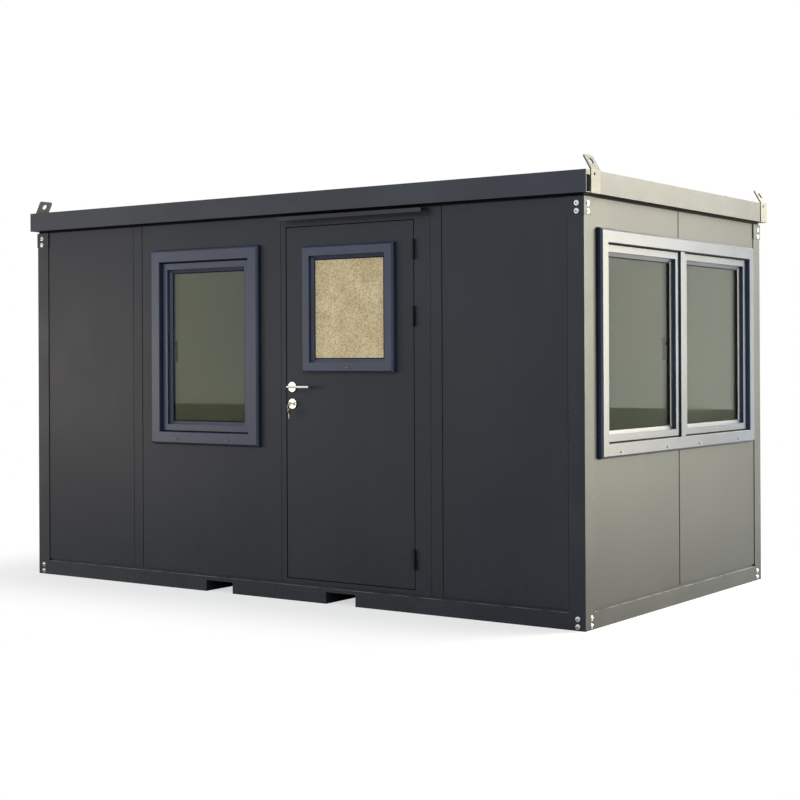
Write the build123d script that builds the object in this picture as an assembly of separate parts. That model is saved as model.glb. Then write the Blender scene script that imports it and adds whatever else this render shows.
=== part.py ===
from build123d import *
import math
import os

# Office container with one door, one front window and a double window in its right-hand end.
# Millimetres, +Z up, origin on the ground in the middle of the plan.
# The front, with the door, faces -Y, and the end with the double window faces +X.

# Overall steel frame
body_length = 3980.0
body_width = 2265.0
wall_top = 2188.0
post_leg = 95.0
post_thickness = 4.0

# Base frame
base_rail_height = 88.0
base_rail_depth = 70.0
base_rail_thickness = 4.0
fork_pocket_width = 205.0
fork_pocket_height = 66.0
fork_pocket_spacing = 896.0
fork_channel_thickness = 4.0
bearer_width = 60.0
bearer_height = 80.0
bearer_wall = 4.0
bearer_pitch = 400.0
bearers_beyond_pocket = 3
floor_thickness = 22.0

# Wall panels
panel_thickness = 60.0
front_seams = [-1069.0, 28.0, 1131.0]
end_seam = -25.0
joint_groove = 4.0
joint_land_width = 75.0
joint_land_depth = 1.5
foot_rebate_height = 16.0
foot_rebate_depth = 8.0

# Roof frame
roof_overhang = 35.0
roof_gap = 14.0
fascia_height = 115.0
fascia_depth = 45.0
fascia_thickness = 4.0
fascia_lip = 14.0
open_end_setback = 3.0
end_tab_height = 26.0
roof_panel_thickness = 90.0
roof_sheet_thickness = 2.0
roof_seam_height = 22.0
roof_seam_width = 30.0
roof_seam_slope = 6.0
roof_seam_count = 9

# Corner fittings of the roof
lug_plate_width = 98.0
lug_plate_thickness = 8.0
lug_bend_rise = 7.0
lug_ear_length = 87.0
lug_ear_lean = 30.0
lug_eye_radius = 18.0
lug_eye_rise = 50.0
lug_ear_corner = 8.0
lug_stub_wall = 5.0
lug_bolt_radius = 8.0
lug_bolt_drop = 18.0
lug_bolt_inset = 36.0
front_lug_setback = 49.5
rear_fascia_setback = 107.5
rear_lug_gap = 15.0

# Plates bolted round the heads of the posts
bracket_leg = 98.0
bracket_height = 90.0
bracket_thickness = 3.0
bracket_corner = 12.0

# Doorway and door leaf
door_frame_left = 28.0
door_frame_right = 985.0
doorway_left = 62.5
doorway_right = 952.5
doorway_bottom = 124.5
doorway_top = 2126.5
leaf_gap = 5.0
latch_gap = 7.0
leaf_thickness = 45.0
door_stop_width = 14.0
door_stop_depth = 10.0

# Window in the door leaf
door_window_centre = 513.0
door_window_width = 634.0
door_window_bottom = 1298.0
door_window_height = 712.0
door_window_face = 76.0
door_window_lap = 20.0
door_window_inside = 10.0

# Profiles of the windows, common to all of them
frame_proud = 30.0
frame_depth = 70.0
frame_face = 72.0
frame_edge_chamfer = 10.0
frame_inner_chamfer = 3.0
sash_recess = 25.0
sash_depth = 60.0
seal_groove_width = 8.0
seal_groove_depth = 6.0
sash_face = 36.0
bead_width = 20.0
bead_recess = 20.0
bead_lip = 2.0
glass_recess = 30.0
glass_thickness = 24.0
glass_bite = 12.0

# Front window
front_window_centre = -550.0
front_window_width = 842.0
front_window_bottom = 868.0
front_window_height = 1163.0

# Double window of the end wall
end_window_centre = -1.0
end_window_margin = 80.5
end_window_bottom = 859.0
end_window_height = 1177.0
end_mullion_face = 56.0
end_mullion_recess = 13.0

# Hinges of the door
hinge_axis_x = 949.0
hinge_standoff = 10.5
hinge_barrel_radius = 9.5
hinge_pin_radius = 4.0
hinge_pin_headroom = 8.0
hinge_height = 108.0
hinge_plate_width = 22.0
hinge_plate_thickness = 3.0
hinge_bottoms = [236.0, 1549.0, 1911.0]
running_clearance = 0.3

# Lever handle and lock
lever_x = 112.0
lever_z = 1215.0
lever_neck_radius = 8.0
lever_reach = 151.0
lever_standoff = 48.0
lever_grip_radius = 8.5
rose_radius = 27.5
rose_thickness = 9.0
spindle_side = 8.0
lock_x = 114.0
lock_z = 1120.0
cylinder_radius = 8.5
cylinder_proud = 3.0
key_thickness = 2.5
key_hole_rim = 2.0
key_blade_root = 2.0
key_bow_radius = 13.0
key_hole_radius = 2.5
key_blade = 30.0
key_blade_width = 8.0
key_neck = 6.0
key_ring_radius = 15.0
key_ring_wire = 1.0

# Inside handles of the windows
window_handle_height = 130.0
window_handle_width = 20.0
window_handle_drop = 70.0
window_handle_above = 8.0
window_handle_thickness = 14.0
handle_rose_width = 30.0
handle_rose_height = 66.0
handle_rose_thickness = 10.0
handle_rose_corner = 8.0
handle_neck_radius = 8.0
handle_neck_length = 24.0
handle_overlap = 4.0

# Rain rail over the door
drip_rail_left = 41.0
drip_rail_right = 1039.0
drip_rail_top = 2184.0
drip_rail_bottom = 2156.0
drip_rail_reach = 62.0
drip_rail_thickness = 2.5
drip_lip_bottom = 2158.0
drip_lip_top = 2180.0

# Places worked out from the sizes above
half_length = body_length / 2
half_width = body_width / 2
front_face = -half_width
front_skin = front_face + post_thickness
front_lining = front_skin + panel_thickness
end_skin = half_length - post_thickness
end_lining = end_skin - panel_thickness
lining_half_width = half_width - post_thickness - panel_thickness
end_window_width = 2 * (lining_half_width - end_window_margin)
fascia_bottom = wall_top + roof_gap
fascia_top = fascia_bottom + fascia_height
roof_half_length = half_length + roof_overhang
roof_half_width = half_width + roof_overhang
pocket_centres = [-fork_pocket_spacing / 2, fork_pocket_spacing / 2]

pieces = {}


def block(x_range, y_range, z_range):
    """A square-edged block between three pairs of limits."""
    x0, x1 = x_range
    y0, y1 = y_range
    z0, z1 = z_range
    middle = Pos((x0 + x1) / 2, (y0 + y1) / 2, (z0 + z1) / 2)
    return middle * Box(x1 - x0, y1 - y0, z1 - z0)


def along_x(points, x_range):
    """A profile drawn as Y and Z points and drawn out along X."""
    outline = make_face(Polyline(*points, close=True))
    return extrude(Plane.YZ.offset(x_range[0]) * outline, amount=x_range[1] - x_range[0])


def along_y(points, y_range):
    """A profile drawn as X and Z points and drawn out along Y."""
    outline = make_face(Polyline(*points, close=True))
    return extrude(Plane.XZ.offset(-y_range[1]) * outline, amount=y_range[1] - y_range[0])


def along_z(points, z_range):
    """A profile drawn as X and Y points and drawn out along Z."""
    outline = make_face(Polyline(*points, close=True))
    return extrude(Plane.XY.offset(z_range[0]) * outline, amount=z_range[1] - z_range[0])


def through_wall(sketch, y_range):
    """A sketch drawn in X and Z and drawn out through the front wall."""
    return extrude(Plane.XZ.offset(-y_range[1]) * sketch, amount=y_range[1] - y_range[0])


def rod(start, end, radius):
    """A round bar from one point to another."""
    path = Vector(*end) - Vector(*start)
    return extrude(Plane(origin=start, z_dir=path) * Circle(radius), amount=path.length)


def to_end_wall(shape, centre):
    """Carry a shape made at the origin of the front wall to the right-hand end wall."""
    return Pos(end_skin, centre, 0) * Rot(0, 0, 90) * shape


def together(solids):
    """Solids of one kind that stand apart, kept as one piece."""
    return Compound(children=[part for solid in solids for part in solid.solids()])


# Base frame
def channel_points(depth, height, thickness, lip=0.0):
    """A channel section whose back is at zero and whose flanges run to depth."""
    inner = height - thickness
    if lip == 0.0:
        return [(0, 0), (depth, 0), (depth, thickness), (thickness, thickness),
                (thickness, inner), (depth, inner), (depth, height), (0, height)]
    back = depth - thickness
    return [(0, 0), (depth, 0), (depth, lip), (back, lip), (back, thickness),
            (thickness, thickness), (thickness, inner), (back, inner), (back, height - lip),
            (depth, height - lip), (depth, height), (0, height)]


base_section = channel_points(base_rail_depth, base_rail_height, base_rail_thickness)
rail_half_span = half_length - post_leg
long_base_rail = along_x([(front_face + y, z) for y, z in base_section],
                         (-rail_half_span, rail_half_span))
for pocket in pocket_centres:
    half_pocket = fork_pocket_width / 2
    half_channel = half_pocket + fork_channel_thickness
    pocket_top = fork_pocket_height
    long_base_rail -= block((pocket - half_pocket, pocket + half_pocket),
                            (front_face - 1, front_face + base_rail_depth + 1), (-1, pocket_top))
    long_base_rail -= block((pocket - half_channel, pocket + half_channel),
                            (front_face + base_rail_thickness, front_face + base_rail_depth + 1),
                            (-1, pocket_top + fork_channel_thickness))
pieces["base_rail_front"] = long_base_rail
pieces["base_rail_rear"] = Rot(0, 0, 180) * long_base_rail

end_rail_half_span = half_width - post_leg
right_base_rail = along_y([(half_length - x, z) for x, z in base_section],
                          (-end_rail_half_span, end_rail_half_span))
pieces["base_rail_right"] = right_base_rail
pieces["base_rail_left"] = Rot(0, 0, 180) * right_base_rail

pocket_run = half_width - base_rail_thickness
fork_channels = []
for pocket in pocket_centres:
    inner = fork_pocket_width / 2
    outer = inner + fork_channel_thickness
    crown = fork_pocket_height + fork_channel_thickness
    section = [(-outer, 0), (-inner, 0), (-inner, fork_pocket_height), (inner, fork_pocket_height),
               (inner, 0), (outer, 0), (outer, crown), (-outer, crown)]
    fork_channels.append(along_y([(pocket + x, z) for x, z in section], (-pocket_run, pocket_run)))
pieces["fork_channels"] = together(fork_channels)

bearer_places = [0.0]
for step in range(bearers_beyond_pocket):
    place = bearer_pitch * (step + 2)
    bearer_places += [-place, place]
bearer_run = half_width - base_rail_depth
bearer_top = base_rail_height
bearers = []
for place in bearer_places:
    tube = Rectangle(bearer_width, bearer_height)
    tube -= Rectangle(bearer_width - 2 * bearer_wall, bearer_height - 2 * bearer_wall)
    height = bearer_top - bearer_height / 2
    bearers.append(through_wall(Pos(place, height) * tube, (-bearer_run, bearer_run)))
pieces["floor_bearers"] = together(bearers)

floor_top = base_rail_height + floor_thickness
pieces["floor_deck"] = block((-end_lining, end_lining), (-lining_half_width, lining_half_width),
                             (base_rail_height, floor_top))


# Corner posts, each an angle with a boxed foot
def corner_post(side_x, side_y):
    """An angle post at the corner given by two signs."""
    t = post_thickness
    leg = post_leg
    angle = [(0, 0), (leg, 0), (leg, t), (t, t), (t, leg), (0, leg)]
    post = along_z(angle, (0, wall_top))
    foot = block((0, leg), (0, leg), (0, base_rail_height))
    foot -= block((t, leg - t), (t, leg - t), (t, base_rail_height - t))
    post += foot
    placed = Pos(-half_length, -half_width, 0) * post
    if side_x > 0:
        placed = mirror(placed, about=Plane.YZ)
    if side_y > 0:
        placed = mirror(placed, about=Plane.XZ)
    return placed


pieces["post_front_left"] = corner_post(-1, -1)
pieces["post_front_right"] = corner_post(1, -1)
pieces["post_rear_left"] = corner_post(-1, 1)
pieces["post_rear_right"] = corner_post(1, 1)


# Head brackets, each a plate folded round the corner of a post
def head_bracket():
    """The bracket of the front left post."""
    t = bracket_thickness
    low = wall_top - bracket_height
    fold = [(-t, -t), (bracket_leg, -t), (bracket_leg, 0), (0, 0), (0, bracket_leg), (-t, bracket_leg)]
    plate = along_z(fold, (low, wall_top))
    free_ends = plate.edges().filter_by(lambda e: max(e.center().X, e.center().Y) > bracket_leg - 0.01
                                        and abs(e.center().Z - low) < 0.01
                                        and abs(e.length - t) < 0.01)
    plate = fillet(free_ends, bracket_corner)
    return Pos(-half_length, -half_width, 0) * plate


front_left_bracket = head_bracket()
front_right_bracket = mirror(front_left_bracket, about=Plane.YZ)
brackets = [front_left_bracket, front_right_bracket]
brackets += [mirror(bracket, about=Plane.XZ) for bracket in brackets]
pieces["head_brackets"] = together(brackets)


# Wall panels
panel_z = (base_rail_height, wall_top)
foot_rebate_top = base_rail_height + foot_rebate_height


def foot_rebate(x_range):
    """What is cut from the outer lower edge of the wall, whose face lies on Y = 0."""
    return block((x_range[0] - 1, x_range[1] + 1), (-1, foot_rebate_depth),
                 (base_rail_height - 1, foot_rebate_top))


def wall_panel(x_range, jointed_sides, land=False):
    """A full-height panel with its outer face on Y = 0 and a groove at the sides given by signs.
    A land is the strip beside the right-hand joint, pressed back a little from the face."""
    low, high = x_range
    sunk = joint_land_depth if land else 0.0
    panel = block(x_range, (0, panel_thickness), panel_z) - foot_rebate(x_range)
    if land:
        panel -= block((high - joint_land_width, high + 1), (-1, sunk), (0, wall_top + 1))
    for side in jointed_sides:
        edge, depth = (high, joint_groove + sunk) if side > 0 else (low, joint_groove)
        groove = [(edge + side, -1), (edge - side * (depth + 1), -1), (edge + side, depth + 1)]
        panel -= along_z(groove, (0, wall_top + 1))
    return panel


def front_panel(x_range, jointed_sides, land=False):
    """A panel of the front wall."""
    return Pos(0, front_skin, 0) * wall_panel(x_range, jointed_sides, land)


def window_hole(centre, bottom, width, height, y_range):
    """The hole that a window fills, cut through the front wall."""
    return through_wall(Pos(centre, bottom + height / 2) * Rectangle(width, height), y_range)


pieces["front_panel_left"] = front_panel((-end_skin, front_seams[0]), [1], land=True)
front_hole = window_hole(front_window_centre, front_window_bottom, front_window_width,
                         front_window_height, (front_skin - 1, front_lining + 1))
pieces["front_panel_window"] = front_panel((front_seams[0], front_seams[1]), [-1, 1]) - front_hole
pieces["front_panel_beside_door"] = front_panel((door_frame_right, front_seams[2]), [1], land=True)
pieces["front_panel_right"] = front_panel((front_seams[2], end_skin), [-1])

rear_edges = [-end_skin] + front_seams + [end_skin]
rear_panels = [("left", [-1]), ("middle_left", [-1, 1]), ("middle_right", [-1, 1]), ("right", [1])]
for (name, sides), low, high in zip(rear_panels, rear_edges[:-1], rear_edges[1:]):
    panel = Pos(0, front_skin, 0) * wall_panel((-high, -low), sides, land=1 in sides)
    pieces[f"rear_panel_{name}"] = Rot(0, 0, 180) * panel

end_panels = [("front", -lining_half_width, end_seam, [1]),
              ("rear", end_seam, lining_half_width, [-1])]
end_hole = window_hole(0, end_window_bottom, end_window_width, end_window_height,
                       (-1, panel_thickness + 1))
end_hole = to_end_wall(end_hole, end_window_centre)
for name, low, high, sides in end_panels:
    right_panel = to_end_wall(wall_panel((low, high), sides, land=1 in sides), 0)
    pieces[f"right_panel_{name}"] = right_panel - end_hole
    pieces[f"left_panel_{name}"] = mirror(right_panel, about=Plane.YZ)


# Windows: mitred lengths of one profile, welded at the corners
def mitred_frame(width, height, profile):
    """A rectangular frame round the origin from a profile of inset and depth points."""
    reach = max(inset for inset, depth in profile) + 1
    members = []
    for side in range(4):
        span, rise = (width, height) if side % 2 == 0 else (height, width)
        half_span = span / 2
        base = -rise / 2
        bar = along_x([(depth, base + inset) for inset, depth in profile], (-half_span, half_span))
        trapezium = make_face(Polyline((-half_span, base), (half_span, base),
                                       (half_span - reach, base + reach),
                                       (-half_span + reach, base + reach), close=True))
        depths = [depth for inset, depth in profile]
        mitre = through_wall(trapezium, (min(depths) - 1, max(depths) + 1))
        members.append(Rot(0, 90 * side, 0) * (bar & mitre))
    return members[0] + members[1:]


frame_profile = [(0, frame_edge_chamfer - frame_proud), (frame_edge_chamfer, -frame_proud),
                 (frame_face - frame_inner_chamfer, -frame_proud),
                 (frame_face, frame_inner_chamfer - frame_proud),
                 (frame_face, frame_depth - frame_proud), (0, frame_depth - frame_proud)]
sash_front = sash_recess - frame_proud
glass_front = sash_front + glass_recess
glass_back = glass_front + glass_thickness
sash_back = sash_front + sash_depth
sash_rim = seal_groove_width + sash_face
glass_edge = sash_rim + bead_width
glass_inset = glass_edge - glass_bite


def beaded_edge(rim, front, pane_front, back):
    """The inner side of a profile: a step, a sloping glazing bead and the groove for the glass."""
    edge = rim + bead_width
    groove = edge - glass_bite
    pane_back = pane_front + glass_thickness
    return [(rim, front), (rim, front + bead_recess), (edge, pane_front - bead_lip),
            (edge, pane_front), (groove, pane_front), (groove, pane_back), (edge, pane_back),
            (edge, back)]


seal_floor = sash_front + seal_groove_depth
sash_profile = [(0, seal_floor), (seal_groove_width, seal_floor), (seal_groove_width, sash_front)]
sash_profile += beaded_edge(sash_rim, sash_front, glass_front, sash_back)
sash_profile.append((0, sash_back))


def sash_and_glass(width, height):
    """A sash of an outer size, and the double glazing held in its groove."""
    sash = mitred_frame(width, height, sash_profile)
    pane = Rectangle(width - 2 * glass_inset, height - 2 * glass_inset)
    return sash, through_wall(pane, (glass_front, glass_back))


def inside_handle():
    """A window handle: a rose and a hanging grip, made round the origin on a sash's back."""
    rose = RectangleRounded(handle_rose_width, handle_rose_height, handle_rose_corner)
    neck_end = handle_rose_thickness + handle_neck_length
    grip_start = neck_end - handle_overlap
    grip = RectangleRounded(window_handle_width, window_handle_height, window_handle_width / 2 - 1)
    grip = Pos(0, window_handle_above - window_handle_drop / 2) * grip
    handle = through_wall(rose, (0, handle_rose_thickness))
    handle += through_wall(Circle(handle_neck_radius), (handle_rose_thickness, neck_end))
    return handle + through_wall(grip, (grip_start, grip_start + window_handle_thickness))


front_window_middle = front_window_bottom + front_window_height / 2
front_window_place = Pos(front_window_centre, front_skin, front_window_middle)
front_sash_width = front_window_width - 2 * frame_face
front_sash_height = front_window_height - 2 * frame_face
front_sash, front_glass = sash_and_glass(front_sash_width, front_sash_height)
pieces["front_window_frame"] = front_window_place * mitred_frame(
    front_window_width, front_window_height, frame_profile)
pieces["front_window_sash"] = front_window_place * front_sash
pieces["front_window_glass"] = front_window_place * front_glass

end_window_middle = end_window_bottom + end_window_height / 2
end_sash_width = (end_window_width - 2 * frame_face - end_mullion_face) / 2
end_sash_height = end_window_height - 2 * frame_face
end_sash_offset = (end_mullion_face + end_sash_width) / 2
end_frame = mitred_frame(end_window_width, end_window_height, frame_profile)
mullion = Rectangle(end_mullion_face, end_sash_height)
mullion_front = end_mullion_recess - frame_proud
end_frame += through_wall(mullion, (mullion_front, frame_depth - frame_proud))
end_sash, end_glass = sash_and_glass(end_sash_width, end_sash_height)
end_sides = [-end_sash_offset, end_sash_offset]
end_lift = Pos(0, 0, end_window_middle)
pieces["end_window_frame"] = to_end_wall(end_lift * end_frame, end_window_centre)
pieces["end_window_sashes"] = together(
    [to_end_wall(Pos(side, 0, end_window_middle) * end_sash, end_window_centre) for side in end_sides])
pieces["end_window_glass"] = together(
    [to_end_wall(Pos(side, 0, end_window_middle) * end_glass, end_window_centre) for side in end_sides])

handle_side = front_sash_width / 2 - glass_edge / 2
handles = [front_window_place * Pos(-handle_side, sash_back, 0) * inside_handle()]
end_handle_side = end_mullion_face / 2 + glass_edge / 2
for side in [-end_handle_side, end_handle_side]:
    handle = Pos(side, sash_back, end_window_middle) * inside_handle()
    handles.append(to_end_wall(handle, end_window_centre))
pieces["window_handles"] = together(handles)


# Door frame: jambs, head and sill with a stop behind the leaf
def rectangle_xz(x_range, z_range):
    """A rectangle drawn in X and Z between two pairs of limits."""
    width = x_range[1] - x_range[0]
    height = z_range[1] - z_range[0]
    return Pos((x_range[0] + x_range[1]) / 2, (z_range[0] + z_range[1]) / 2) * Rectangle(width, height)


frame_outline = rectangle_xz((door_frame_left, door_frame_right), (base_rail_height, wall_top))
doorway = rectangle_xz((doorway_left, doorway_right), (doorway_bottom, doorway_top))
inner_doorway = rectangle_xz((doorway_left + door_stop_width, doorway_right - door_stop_width),
                             (doorway_bottom, doorway_top - door_stop_width))
stop_front = front_lining - door_stop_depth
door_frame = through_wall(frame_outline - doorway, (front_skin, stop_front))
door_frame += through_wall(frame_outline - inner_doorway, (stop_front, front_lining))
foot = foot_rebate((door_frame_left, door_frame_right))
pieces["door_frame"] = door_frame - Pos(0, front_skin, 0) * foot

# Door leaf with its window
leaf_x = (doorway_left + latch_gap, doorway_right - leaf_gap)
leaf_z = (doorway_bottom + leaf_gap, doorway_top - leaf_gap)
leaf_back = front_skin + leaf_thickness
door_window_middle = door_window_bottom + door_window_height / 2
door_window_place = Pos(door_window_centre, front_skin, door_window_middle)
leaf_hole = Rectangle(door_window_width - 2 * door_window_lap, door_window_height - 2 * door_window_lap)
leaf_outline = rectangle_xz(leaf_x, leaf_z)
leaf_outline -= Pos(door_window_centre, door_window_middle) * leaf_hole
leaf_outline -= Pos(lever_x, lever_z) * Circle(lever_neck_radius + running_clearance)
leaf_outline -= Pos(lock_x, lock_z) * Circle(cylinder_radius + running_clearance)
pieces["door_leaf"] = through_wall(leaf_outline, (front_skin, leaf_back))

lap = door_window_lap
pane_front = glass_recess - frame_proud
pane_back = pane_front + glass_thickness
door_window_back = leaf_thickness + door_window_inside
door_window_profile = [(0, frame_edge_chamfer - frame_proud), (frame_edge_chamfer, -frame_proud)]
door_window_rim = door_window_face - bead_width
door_window_profile += beaded_edge(door_window_rim, -frame_proud, pane_front, door_window_back)
door_window_profile += [(0, door_window_back), (0, leaf_thickness), (lap, leaf_thickness), (lap, 0),
                        (0, 0)]
pieces["door_window_frame"] = door_window_place * mitred_frame(
    door_window_width, door_window_height, door_window_profile)
pane_inset = door_window_face - glass_bite
door_pane = Rectangle(door_window_width - 2 * pane_inset, door_window_height - 2 * pane_inset)
pieces["door_window_glass"] = door_window_place * through_wall(door_pane, (pane_front, pane_back))

# Hinges: a lower half with a pin on the frame and an upper half with a bore on the leaf
hinge_y = front_skin - hinge_standoff
half_hinge = hinge_height / 2
plate_y = (front_skin - hinge_plate_thickness, front_skin)
plate_gap = leaf_gap / 2


def barrel(bottom, height):
    """A round barrel on the hinge axis."""
    return Pos(hinge_axis_x, hinge_y, bottom + height / 2) * Cylinder(hinge_barrel_radius, height)


frame_halves = []
leaf_halves = []
for bottom in hinge_bottoms:
    middle = bottom + half_hinge
    lower = barrel(bottom, half_hinge)
    pin_top = bottom + hinge_height - hinge_pin_headroom
    pin = rod((hinge_axis_x, hinge_y, middle - half_hinge / 2), (hinge_axis_x, hinge_y, pin_top),
              hinge_pin_radius)
    right_plate = block((hinge_axis_x + plate_gap, hinge_axis_x + hinge_plate_width), plate_y,
                        (bottom, middle))
    frame_halves.append(lower + pin + right_plate)
    upper = barrel(middle + running_clearance, half_hinge - running_clearance)
    bore_top = pin_top + hinge_pin_headroom / 2
    upper -= rod((hinge_axis_x, hinge_y, middle - 1), (hinge_axis_x, hinge_y, bore_top),
                 hinge_pin_radius + running_clearance)
    left_plate = block((hinge_axis_x - hinge_plate_width, hinge_axis_x - plate_gap), plate_y,
                       (middle + running_clearance, bottom + hinge_height))
    leaf_halves.append(upper + left_plate)
pieces["door_hinges_frame_side"] = together(frame_halves)
pieces["door_hinges_leaf_side"] = together(leaf_halves)

# Lever handle: two levers on one square spindle
lever_tip = lever_x + lever_reach - lever_grip_radius
outer_grip_y = front_skin - lever_standoff
inner_grip_y = leaf_back + lever_standoff
lever = through_wall(Pos(lever_x, lever_z) * Circle(lever_neck_radius), (outer_grip_y, front_skin))
lever += through_wall(Pos(lever_x, lever_z) * Circle(lever_neck_radius), (leaf_back, inner_grip_y))
lever += through_wall(Pos(lever_x, lever_z) * Rectangle(spindle_side, spindle_side),
                      (front_skin, leaf_back))
for grip_y in [outer_grip_y, inner_grip_y]:
    lever += rod((lever_x, grip_y, lever_z), (lever_tip, grip_y, lever_z), lever_grip_radius)
    lever += Pos(lever_x, grip_y, lever_z) * Sphere(lever_grip_radius)
    lever += Pos(lever_tip, grip_y, lever_z) * Sphere(lever_grip_radius)
pieces["door_lever"] = lever

# Roses and lock cylinder
rose_outline = Circle(rose_radius) - Circle(lever_neck_radius + running_clearance)
outer_rose_y = (front_skin - rose_thickness, front_skin)
inner_rose_y = (leaf_back, leaf_back + rose_thickness)
pieces["lever_roses"] = together(
    [through_wall(Pos(lever_x, lever_z) * rose_outline, y) for y in [outer_rose_y, inner_rose_y]])
cylinder = through_wall(Pos(lock_x, lock_z) * Circle(cylinder_radius),
                        (outer_rose_y[0] - cylinder_proud, inner_rose_y[1] + cylinder_proud))
for y in [outer_rose_y, inner_rose_y]:
    cylinder += through_wall(Pos(lock_x, lock_z) * Circle(rose_radius), y)
pieces["lock_cylinder"] = cylinder


# Keys: one in the lock, and one hanging below it on a split ring
def key():
    """A flat key in the YZ plane: bow round the origin, hole on the +Z side, blade down."""
    half = key_thickness / 2
    bow = Circle(key_bow_radius) - Pos(0, key_hole_offset) * Circle(key_hole_radius)
    shape = extrude(Plane.YZ.offset(-half) * bow, amount=key_thickness)
    blade_top = key_blade_root - key_bow_radius
    return shape + block((-half, half), (-key_blade_width / 2, key_blade_width / 2),
                         (blade_top - key_blade, blade_top))


key_hole_offset = key_bow_radius - key_hole_radius - key_hole_rim
cylinder_nose = outer_rose_y[0] - cylinder_proud
hang = key_hole_radius - key_ring_wire - running_clearance
lock_key_y = cylinder_nose - key_neck - key_bow_radius + key_blade_root
ring_y = lock_key_y - key_hole_offset
ring_z = lock_z - hang - key_ring_radius
spare_z = ring_z - key_ring_radius - hang - key_hole_offset
lock_key = Rot(90, 0, 0) * key()
inside_lock = block((lock_x - key_thickness, lock_x + key_thickness), (cylinder_nose, leaf_back),
                    (lock_z - key_blade_width, lock_z + key_blade_width))
split_ring = Pos(lock_x, ring_y, ring_z) * Rot(90, 0, 0) * Torus(key_ring_radius, key_ring_wire)
pieces["door_keys"] = together([Pos(lock_x, lock_key_y, lock_z) * lock_key - inside_lock, split_ring,
                                Pos(lock_x, ring_y, spare_z) * key()])

# Rain rail over the door, a folded strip
t = drip_rail_thickness
reach = drip_rail_reach
rail_fold = [(0, drip_rail_bottom), (0, drip_rail_top), (-reach, drip_lip_top),
             (-reach, drip_lip_bottom), (t - reach, drip_lip_bottom), (t - reach, drip_lip_top - t),
             (-t, drip_rail_top - t), (-t, drip_rail_bottom)]
pieces["door_rain_rail"] = along_x([(front_skin + y, z) for y, z in rail_fold],
                                   (drip_rail_left, drip_rail_right))

# Roof: side channels open at their ends, end channels, an insulated panel and a seamed sheet
fascia_section = channel_points(fascia_depth, fascia_height, fascia_thickness, fascia_lip)


def front_fascia(half_span):
    """The channel along the front edge of the roof."""
    section = [(y - roof_half_width, fascia_bottom + z) for y, z in fascia_section]
    return along_x(section, (-half_span, half_span))


long_fascia_half = roof_half_length - open_end_setback
front_roof_rail = front_fascia(long_fascia_half)
for side in [-1, 1]:
    tab_x = sorted([side * long_fascia_half, side * (long_fascia_half - fascia_thickness)])
    front_roof_rail += block(tab_x, (-roof_half_width, fascia_depth - roof_half_width),
                             (fascia_top - end_tab_height, fascia_top))
pieces["roof_rail_front"] = front_roof_rail
rear_roof_rail = front_fascia(roof_half_length - lug_plate_thickness)
pieces["roof_rail_rear"] = mirror(rear_roof_rail, about=Plane.XZ)

front_lug_start = front_lug_setback - roof_half_width
front_lug_y = (front_lug_start, front_lug_start + lug_plate_width)
rear_fascia_end = roof_half_width - rear_fascia_setback
rear_lug_y = (rear_fascia_end + rear_lug_gap, roof_half_width)
end_roof_rail = along_y([(roof_half_length - x, fascia_bottom + z) for x, z in fascia_section],
                        (front_lug_y[1], rear_fascia_end))
pieces["roof_rail_right"] = end_roof_rail
pieces["roof_rail_left"] = mirror(end_roof_rail, about=Plane.YZ)

inner_half_length = roof_half_length - fascia_depth
inner_half_width = roof_half_width - fascia_depth
roof_panel_top = wall_top + roof_panel_thickness
pieces["roof_panel"] = block((-inner_half_length, inner_half_length),
                             (-inner_half_width, inner_half_width), (wall_top, roof_panel_top))

seam_pitch = 2 * inner_half_length / (roof_seam_count + 1)
sheet_line = [(-inner_half_length, roof_panel_top)]
for number in range(roof_seam_count):
    middle = seam_pitch * (number + 1) - inner_half_length
    low = middle - roof_seam_width / 2
    high = middle + roof_seam_width / 2
    crest = roof_panel_top + roof_seam_height
    slope = roof_seam_slope
    sheet_line += [(low, roof_panel_top), (low + slope, crest), (high - slope, crest),
                   (high, roof_panel_top)]
sheet_line.append((inner_half_length, roof_panel_top))
upper_line = [(x, z + roof_sheet_thickness) for x, z in reversed(sheet_line)]
pieces["roof_sheet"] = along_y(sheet_line + upper_line, (-inner_half_width, inner_half_width))

# Lifting lugs: a plate on the end of the roof frame whose ear leans in over the roof
lean = math.radians(lug_ear_lean)


def lifting_lug(y_range):
    """A lug of the right-hand end, with its plate between two Y limits."""
    x1 = roof_half_length
    x0 = x1 - lug_plate_thickness
    run = (-lug_ear_length * math.sin(lean), lug_ear_length * math.cos(lean))
    thick = (-lug_plate_thickness * math.cos(lean), -lug_plate_thickness * math.sin(lean))
    bend = fascia_top + lug_bend_rise
    knee = bend - lug_plate_thickness * math.tan(lean / 2)
    side = [(x0, fascia_bottom), (x1, fascia_bottom), (x1, bend), (x1 + run[0], bend + run[1]),
            (x1 + run[0] + thick[0], bend + run[1] + thick[1]), (x0, knee)]
    lug = along_y(side, y_range)
    middle_y = (y_range[0] + y_range[1]) / 2
    ear = Plane(origin=(x1, middle_y, bend), x_dir=(0, 1, 0),
                z_dir=(math.cos(lean), 0, math.sin(lean)))
    half = (y_range[1] - y_range[0]) / 2
    eye = Pos(0, lug_eye_rise) * Circle(lug_eye_radius)
    lug -= extrude(ear * eye, amount=2 * lug_plate_thickness, both=True)
    cut = lug_ear_corner + 1
    for hand in [-1, 1]:
        corner = make_face(Polyline((hand * (half + 1), lug_ear_length + 1),
                                    (hand * (half - cut), lug_ear_length + 1),
                                    (hand * (half + 1), lug_ear_length - cut), close=True))
        lug -= extrude(ear * corner, amount=2 * lug_plate_thickness, both=True)
    bolt_y = y_range[0] + lug_bolt_inset
    bolt_z = fascia_top - lug_bolt_drop
    lug -= rod((x0 - 1, bolt_y, bolt_z), (x1 + 1, bolt_y, bolt_z), lug_bolt_radius)
    return lug


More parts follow.
